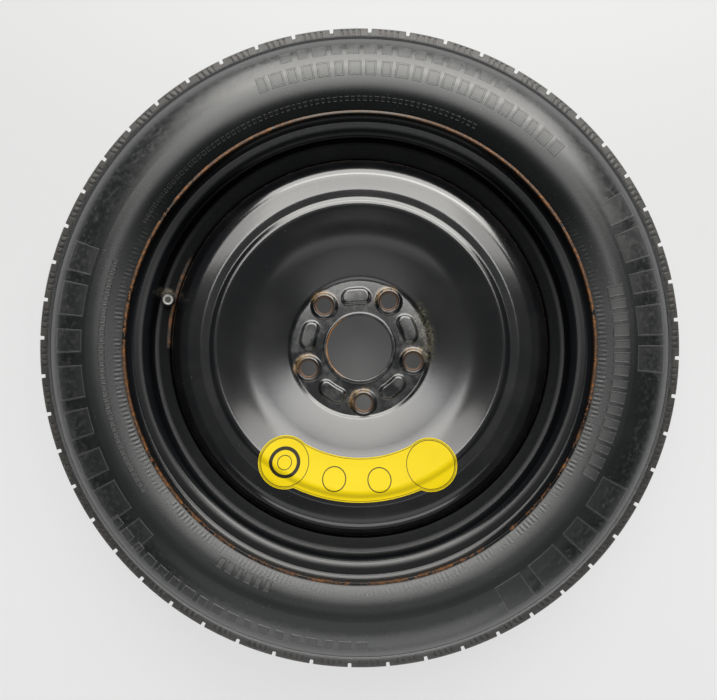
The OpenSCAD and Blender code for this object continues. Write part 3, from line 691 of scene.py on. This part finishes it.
# Groups of plain raised blocks on the sidewall: each group has its count between two angles, counted from the
# direction "about", spans two radii, and has outlines as wide as its line
reliefSize = [
    {"about": 180, "from": -22, "to": 44, "count": 8, "inner": 256, "outer": 283, "line": 1.3},
    {"about": 0, "from": -62, "to": -27, "count": 4, "inner": 253, "outer": 283, "line": 1.3},
    {"about": 0, "from": -6, "to": 32, "count": 5, "inner": 256, "outer": 285, "line": 1.3},
    {"about": 0, "from": -30, "to": 14, "count": 15, "inner": 235, "outer": 249, "line": 0.9},
    {"about": 90, "from": -46, "to": 22, "count": 21, "inner": 251, "outer": 265, "line": 1.1},
    {"about": 90, "from": -30, "to": 16, "count": 14, "inner": 272, "outer": 283, "line": 1.0},
    {"about": 270, "from": -56, "to": 2, "count": 18, "inner": 272, "outer": 283, "line": 1.0},
    {"about": 270, "from": -34, "to": -20, "count": 6, "inner": 231, "outer": 241, "line": 0.9},
    {"about": 90, "from": -28, "to": 60, "count": 64, "inner": 229, "outer": 233, "line": 0.7},
    {"about": 180, "from": -20, "to": 34, "count": 40, "inner": 236, "outer": 241, "line": 0.7},
]


# Distance in mm outside of the nearest block, below 0 inside it; the blocks of a group differ in width
def blockDistance(p, s):
    about = np.radians(s["about"])
    c, n = float(np.cos(about)), float(np.sin(about))
    turn = (p.y * c - p.x * n).run("ARCTAN2", p.x * c + p.y * n) * degreesPerRadian
    pitch = (s["to"] - s["from"]) / s["count"]
    place = (turn - s["from"]) / pitch
    reach = float(np.radians(pitch) * (s["inner"] + s["outer"]) / 2)
    half = ((place.run("FLOOR") * 2.4).run("SINE") * 0.07 + 0.35) * reach
    across = abs((place.run("FRACT") - 0.5) * reach) - half
    along = abs(p.radius - (s["inner"] + s["outer"]) / 2) - (s["outer"] - s["inner"]) / 2
    return across.run("MAXIMUM", along) + (1 - turn.band(s["from"], s["to"], 0.01)) * 100


# Black rubber with scuffs on the upper sidewall, grime on the tread, specks, the blocks as bump with a
# painted highlight on their raised outlines, and painted shade along the top beside the flange
def tyrePaint():
    p = Paint("tyreRubber", (0.008, 0.0098, 0.0100), Specular_IOR_Level=1.0, IOR=1.63)
    cloud = p.noise(60, 4)
    fine = p.noise(1.6, 4, 0.7)
    grime = p.noise(9, 5, 0.6, shift=2.0)
    scuffs = p.noise(4.5, 5, 0.75, shift=8.0)
    tread = p.radius.rise(296, 301)
    upperWall = p.radius.band(262, 290, 9.0)
    p.over(upperWall * scuffs.rise(0.46, 0.72) * 0.22, (0.17, 0.165, 0.15))
    p.over(tread * (0.25 + grime.rise(0.35, 0.7) * 0.5), (0.075, 0.066, 0.056))
    p.over(cloud.rise(0.48, 0.75) * 0.04, (0.12, 0.122, 0.12))
    specks = p.cells(5.0).rise(0.10, 0.06) * p.noise(40, 2, shift=5.0).rise(0.5, 0.62)
    p.over(specks * 0.35, (0.36, 0.34, 0.3))
    rough = 0.21 + tread * 0.34 + cloud * 0.08 + fine * 0.06 + upperWall * scuffs.rise(0.4, 0.7) * 0.14
    serration = (p.angle * 6.0).run("SINE") * p.radius.band(223, 229, 1.5) * grime.rise(0.4, 0.6)
    relief = serration * 0.05 + fine * 0.02 + scuffs * upperWall * 0.10
    ridges, insides = None, None
    for s in reliefSize:
        distance = blockDistance(p, s)
        inside = distance.rise(-s["line"] + 0.2, -s["line"] - 0.2)
        ridge = distance.rise(0.2, -0.2) - inside
        ridges = ridge if ridges is None else ridges + ridge
        insides = inside if insides is None else insides + inside
    relief = relief + ridges * 0.6 + insides * 0.15
    # painted highlight: the blocks' raised outlines are painted lighter, as light catching their edges
    p.over(ridges * 0.5, (0.09, 0.092, 0.088))
    # painted shade: beside the flange along the top the rubber is made dark metal, so that it shows little of
    # the lamps
    p.drive("Metallic", p.radius.rise(262, 230) * p.y.rise(20, 150) * 0.85)
    p.drive("Roughness", rough + insides * 0.12)
    p.bump(relief)
    return p.material


# Black paint with rust on the lip and in the gap by the valve, dirt above the valve, a painted highlight
# along the top of the lip, and painted shade in the gap and along the top of the flange
def rimPaint(s):
    lipRadius, lipTop = s["seat"] + s["flangeHeight"], middle + s["flange"] + s["flangeWidth"]
    dirtX, dirtY = -187, 52
    p = Paint("rimBlack", (0.004, 0.0046, 0.0055), Specular_IOR_Level=0.6, IOR=1.6)
    patches = p.noise(26, 5, 0.6, shift=1.0)
    grain = p.noise(3.2, 4, 0.7, shift=6.0)
    lip = p.radius.band(lipRadius - 3.7, lipRadius + 0.5, 0.4) * p.z.rise(lipTop - 3.4, lipTop - 1.0)
    worn = lip * (patches * 0.7 + grain * 0.3 + p.y.rise(-150, 150) * 0.06).rise(0.46, 0.54)
    worn = worn * (1 - p.angle.band(76, 106, 6.0) * 0.8)
    # painted highlight: a pale line along the top of the lip, in the dust colour
    p.over(lip * p.y.rise(60, 180) * 0.22, dustAndHighlight)
    p.over(worn * 0.85, darkRust)
    p.over(worn * grain.rise(0.45, 0.65) * 0.85, rust)
    specks = p.radius.rise(206, 214) * p.z.rise(111, 121) * grain.rise(0.66, 0.72) * patches.rise(0.45, 0.6)
    p.over(specks * 0.7, darkRust)
    # rust in the gap beside the valve, and tan dirt above it
    streakNoise = p.noise(9, 5, 0.7, shift=5.0)
    gap = p.radius.band(185.6, 188.2, 0.9) * p.angle.band(153, 180, 3.0) * p.z.rise(84, 90)
    p.over(gap * streakNoise.rise(0.36, 0.5) * 0.8, darkRust)
    p.over(gap * streakNoise.rise(0.48, 0.62) * 0.6, rust)
    dx, dy = p.x - dirtX, p.y - dirtY
    above = (dx * dx + dy * dy).rise(60, 6) * p.noise(4.0, 5, 0.7, shift=5.0).rise(0.38, 0.6)
    p.over(above * 0.45, (0.30, 0.25, 0.17))
    haze = p.noise(30, 5)
    p.over(haze.rise(0.5, 0.85) * 0.012, dustAndHighlight)
    flangeFlat = p.radius.band(205, 211.5, 1.0) * p.z.rise(117.0, 118.5)
    # painted shade down in the gap and along the top of the flange: as dark metal it shows little of the
    # lamps
    paintedShade = p.radius.rise(197.5, 194.5).run("MAXIMUM", p.y.rise(20, 140) * 0.95)
    paintedShade = paintedShade * (0.7 + grain * 0.25) * (1 - (gap + above + worn).run("MINIMUM", 1.0))
    p.drive("Metallic", paintedShade)
    rough = 0.14 + haze * 0.06 + worn * 0.45 + specks * 0.3 + gap * 0.3 + flangeFlat * 0.22
    p.drive("Roughness", rough + p.radius.rise(200, 197) * 0.16)
    p.bump(p.noise(3.0, 4, 0.6) * 0.03 + worn * grain * 0.25)
    return p.material


# Black paint with haze, dust on the hub, stains above the seats, a painted highlight round each bolt hole's
# edge, rust in the bore and in the gap, and specks
def discPaint(s):
    p = Paint("discBlack", (0.0042, 0.0045, 0.0052), Specular_IOR_Level=1.0, IOR=1.75)
    haze = p.noise(45, 5, shift=7.0)
    wipe = p.noise(14, 4, 0.6, shift=2.5)
    p.over(haze.rise(0.4, 0.8) * 0.03, dustAndHighlight)
    hub = p.radius.rise(72, 64) * p.z.rise(90.0, 92.0)
    dusty = hub * wipe.rise(0.42, 0.7)
    p.over(dusty * 0.10, (0.34, 0.36, 0.34))
    rightEdge = p.radius.band(60, 74, 3.0) * (p.angle - 8).band(-22, 30, 8.0) * wipe.rise(0.35, 0.6)
    p.over(rightEdge * p.noise(2.5, 4, 0.7, shift=6.0).rise(0.4, 0.6) * 0.26, (0.42, 0.38, 0.24))
    dirtNoise = p.noise(5, 5, 0.65, shift=4.0)
    stain, cone, glintRings = None, None, None
    for i, lean in enumerate((0.5, 0.1, 0.9, 0.8, -0.1)):  # how far each seat's stain leans to one side
        turn = np.radians(s["boltTurn"] + 72 * i)
        dx = p.x - float(s["boltCircle"] * np.cos(turn))
        dy = p.y - float(s["boltCircle"] * np.sin(turn))
        away = (dx * dx + dy * dy) ** 0.5
        upward = (dy - dx * lean) / (away + 0.01)
        here = away.band(10.2, 14.6, 2.0) * upward.rise(0.1, 1.1) * dirtNoise.rise(0.36, 0.6)
        inside = away.rise(10.1, 9.6)
        # painted highlight: a thin ring at the hole's edge
        glintRing = away.band(7.7, 8.7, 0.25)
        stain = here if stain is None else stain + here
        cone = inside if cone is None else cone + inside
        glintRings = glintRing if glintRings is None else glintRings + glintRing
    p.over(stain * 0.7, ochre)
    p.over(stain * wipe.rise(0.5, 0.65) * 0.6, (0.36, 0.14, 0.03))
    p.over(cone * 0.8, (0.07, 0.035, 0.022))
    # painted highlight: a pale ring round each bolt hole's edge
    p.over(glintRings * 0.75, (0.36, 0.22, 0.14))
    boreRust = p.radius.rise(33.4, 32.4) * (-p.x).rise(8, 26) * dirtNoise.rise(0.36, 0.5)
    p.over(boreRust * 0.85, (0.45, 0.2, 0.05))
    crevice = p.radius.rise(181.4, 182.8) * p.noise(12, 5, 0.6, shift=9.0).rise(0.42, 0.6)
    p.over(crevice * 0.8, darkRust)
    specks = p.cells(7.0).rise(0.055, 0.03) * p.noise(50, 2, shift=3.0).rise(0.48, 0.6)
    p.over(specks * 0.5, (0.4, 0.4, 0.38))
    p.drive("Roughness", 0.13 + haze * 0.06 + stain * 0.3 + cone * 0.2 + dusty * 0.12 + crevice * 0.2)
    p.bump(p.noise(4.0, 3, 0.5) * 0.012 + stain * dirtNoise * 0.1)
    return p.material


# Yellow film with printed rings and a border line
def labelPaint(s):
    p = Paint("labelYellow", (0.86, 0.65, 0.004), Specular_IOR_Level=0.16)
    turn = np.radians(s["turn"])
    ink = (0.03, 0.025, 0.015)
    cloud = p.noise(25, 4)
    p.over(cloud.rise(0.45, 0.8) * 0.25, (0.72, 0.5, 0.01))
    p.drive("Roughness", 0.26 + cloud * 0.12)

    def around(offset, at):
        here = turn + np.radians(offset)
        dx = p.x - float(at * np.cos(here))
        dy = p.y - float(at * np.sin(here))
        return (dx * dx + dy * dy) ** 0.5

    for offset, at, radius, width in s["rings"]:
        p.over(around(offset, at).band(radius - width / 2, radius + width / 2, 0.2), ink)
    # a thin line along the film's edge: its band and both end discs
    aside = abs(p.angle - (s["turn"] - 360)).rise(s["halfTurn"] - 0.5, s["halfTurn"])
    depth = abs(p.radius - (s["inner"] + s["outer"]) / 2) - (s["outer"] - s["inner"]) / 2 + aside * 100
    for offset in (-s["halfTurn"], s["halfTurn"]):
        depth = depth.run("MINIMUM", around(offset, s["endAt"]) - s["endRadius"])
    p.over(depth.band(-1.5, -0.9, 0.15) * 0.8, ink)
    return p.material


# Grey plastic: a painted highlight as a pale rim round the top and painted shade in its dish; distances from
# the valve's axis in mm
def capPaint(s):
    p = Paint("capPlastic", (0.06, 0.062, 0.064))
    turn, (footRadius, footHeight) = np.radians(s["turn"]), s["foot"]
    rise = p.z - (footHeight + middle)
    axis = footRadius - rise * float(np.tan(np.radians(s["tilt"])))
    dx, dy = p.x - axis * float(np.cos(turn)), p.y - axis * float(np.sin(turn))
    away = (dx * dx + dy * dy) ** 0.5
    fine = p.noise(0.8, 4)
    top = p.z.rise(113.5, 115)
    # painted highlight: a pale ring round the top of the cap
    p.over(top * away.band(3.0, 4.6, 0.3) * fine.rise(0.3, 0.5), (0.42, 0.41, 0.38))
    # painted shade: the cap's dish is painted darker
    p.over(top * away.rise(2.9, 2.4) * fine.rise(0.45, 0.55) * 0.8, (0.02, 0.018, 0.016))
    p.drive("Roughness", 0.3 + fine * 0.15)
    p.bump(fine * 0.03)
    return p.material


# A plain finish: darker clouds, uneven roughness and a fine bump of one grain
def plainPaint(name, base, roughness, metallic=0.0, grain=2.0, strength=0.03):
    p = Paint(name, base, Metallic=metallic)
    p.over(p.noise(grain * 4, 4) * 0.25, tuple(0.55 * c for c in base))
    p.drive("Roughness", roughness + p.noise(grain, 3, shift=3.0) * 0.14)
    p.bump(p.noise(grain, 3) * strength)
    return p.material


print("building materials")
tyreSkin, rimSkin = tyrePaint(), rimPaint(rimSize)
discSkin, labelSkin = discPaint(discSize), labelPaint(labelSize)
valveRubber = plainPaint("valveRubberBlack", (0.02, 0.02, 0.02), 0.5)
brass = plainPaint("brass", (0.62, 0.45, 0.18), 0.25, 1.0, 0.6, 0.01)
steelWire = plainPaint("springSteel", (0.6, 0.6, 0.6), 0.3, 1.0, 0.4, 0.01)
gasketRing = plainPaint("gasketRing", (0.72, 0.7, 0.62), 0.45, grain=0.5, strength=0.01)
weldPaint = plainPaint("weldPaint", (0.02, 0.018, 0.016), 0.45, grain=1.5, strength=0.2)

print("building surfaces")
buildTyre(tyreSize, tyreSkin)
buildRim(rimSize, rimSkin)
disc = cutHoles(buildDisc(discSize), holeCutters(discSize))
finished(disc, "wheel", "disc_paint", discSkin, "disc")
buildLabel(labelSize, discFront(discSize), labelSkin)
buildValveBody(valveSize, valveRubber)
buildStem(valveSize, brass)
buildCap(valveSize, capPaint(valveSize))

# CAD nodes that keep their own mesh and get only a finish
kept = {
    "disc_welds": ("weld_metal", weldPaint), "core_plug": ("core_brass", brass),
    "core_barrel": ("core_brass", brass), "core_gasket": ("core_gasket", gasketRing),
    "core_spring": ("core_steel", steelWire), "core_pin": ("core_brass", brass),
    "core_cup": ("core_cup", valveRubber), "cap_seal": ("cap_seal", valveRubber),
}
for node, (slotName, material) in kept.items():
    finished(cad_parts[node], None, slotName, material)


# The floor keeps the wheel's shadow and gives the pale background
def buildStage():
    mesh = bpy.data.meshes.new("floor")
    mesh.from_pydata([(-6, -6, 0), (6, -6, 0), (6, 6, 0), (-6, 6, 0)], [], [(0, 1, 2, 3)])
    floor = bpy.data.objects.new("floor", mesh)
    bpy.context.scene.collection.objects.link(floor)
    p = Paint("floorPale", (0.24, 0.245, 0.245), Roughness=0.6, Emission_Strength=1.0)
    p.over(p.noise(900, 2) * 0.1, (0.22, 0.225, 0.225))
    # only the camera and mirroring faces see it glow: pale around the wheel, grey where the bore shows it
    path = p.node("ShaderNodeLightPath").outputs
    rays = [Maths(p.tree, path[name]) for name in ("Is Camera Ray", "Is Glossy Ray", "Is Transmission Ray")]
    seen = (rays[0] + rays[1] + rays[2]).run("MINIMUM", 1.0)
    around = p.radius.rise(180, 330) * (0.5 + p.y.rise(300, -300) * 0.12)
    p.drive("Emission Color", seen * (around + p.radius.rise(170, 110) * 0.06))
    mesh.materials.append(p.material)
    return floor


# A flat lamp of a given radiance, 1 being the white of the picture
def softBox(name, place, aim, size, radiance, colour=(1, 1, 1)):
    data = bpy.data.lights.new(name, "AREA")
    data.shape, data.size, data.size_y = "RECTANGLE", *size
    data.energy, data.color = radiance * np.pi * size[0] * size[1], colour
    item = bpy.data.objects.new(name, data)
    item.location = place
    item.rotation_euler = (Vector(aim) - Vector(place)).to_track_quat("-Z", "Y").to_euler()
    bpy.context.scene.collection.objects.link(item)
    return item


warm = (1, 0.985, 0.95)
# most lamps stand where a bright part of the wheel mirrors them: bowl, shoulder or sidewall
lights = [
    softBox("upperBox", (0.0, 0.40, 1.25), (0, 0.40, 0), (0.72, 0.42), 3.0, warm),
    softBox("upperLeft", (-0.49, 0.46, 1.25), (-0.49, 0.46, 0), (0.26, 0.32), 1.7, warm),
    softBox("upperRight", (0.49, 0.46, 1.25), (0.49, 0.46, 0), (0.26, 0.32), 1.9, warm),
    softBox("wingLeft", (-0.225, 0.15, 1.25), (-0.225, 0.15, 0), (0.21, 0.08), 2.7),
    softBox("wingRight", (0.225, 0.15, 1.25), (0.225, 0.15, 0), (0.21, 0.08), 3.2),
    softBox("middleBox", (0.22, 0.99, 1.25), (0.22, 0.99, 0), (1.7, 0.74), 2.9, warm),
    softBox("lowCard", (0.25, 1.95, 1.25), (0, 0, 0.1), (3.2, 1.5), 3.1, warm),
    softBox("overhead", (0.0, 0.0, 1.40), (0, 0.0, 0), (1.6, 1.2), 0.04),
    softBox("nearGlow", (0.0, -0.27, 1.25), (0, -0.27, 0), (0.5, 0.15), 0.4),
    softBox("frontGlow", (0.0, -1.0, 1.25), (0, -1.0, 0), (1.6, 0.7), 0.35),
    softBox("frontCard", (0.0, -2.0, 0.8), (0, 0, 0.1), (2.4, 1.2), 0.9),
]
print("building the stage")
floor = buildStage()

# The room: weak light all round, and still weaker in what the faces mirror
world = bpy.data.worlds.new("room")
world.use_nodes = True
bpy.context.scene.world = world
tree = world.node_tree
lightPath = tree.nodes.new("ShaderNodeLightPath")
plainRoom, mirrorRoom = tree.nodes["Background"], tree.nodes.new("ShaderNodeBackground")
for room, colour, strength in ((plainRoom, (0.95, 0.98, 1, 1), 0.14), (mirrorRoom, (0.9, 0.95, 1, 1), 0.04)):
    room.inputs["Color"].default_value, room.inputs["Strength"].default_value = colour, strength
mix = tree.nodes.new("ShaderNodeMixShader")
tree.links.new(lightPath.outputs["Is Glossy Ray"], mix.inputs[0])
tree.links.new(plainRoom.outputs[0], mix.inputs[1])
tree.links.new(mirrorRoom.outputs[0], mix.inputs[2])
tree.links.new(mix.outputs[0], tree.nodes["World Output"].inputs[0])

# The camera looks straight down, from the place and with the lens that the photograph's sizes give
cameraSize = {"lens": 30.71, "sensor": 36, "place": (-0.00113, -0.00205, 0.694), "picture": (717, 700)}
cameraData = bpy.data.cameras.new("camera")
cameraData.lens, cameraData.sensor_width = cameraSize["lens"], cameraSize["sensor"]
camera = bpy.data.objects.new("camera", cameraData)
camera.location = cameraSize["place"]
bpy.context.scene.collection.objects.link(camera)
bpy.context.scene.camera = camera

scene = bpy.context.scene
scene.render.engine = "CYCLES"
scene.render.resolution_x, scene.render.resolution_y = cameraSize["picture"]
scene.view_settings.view_transform = "Standard"
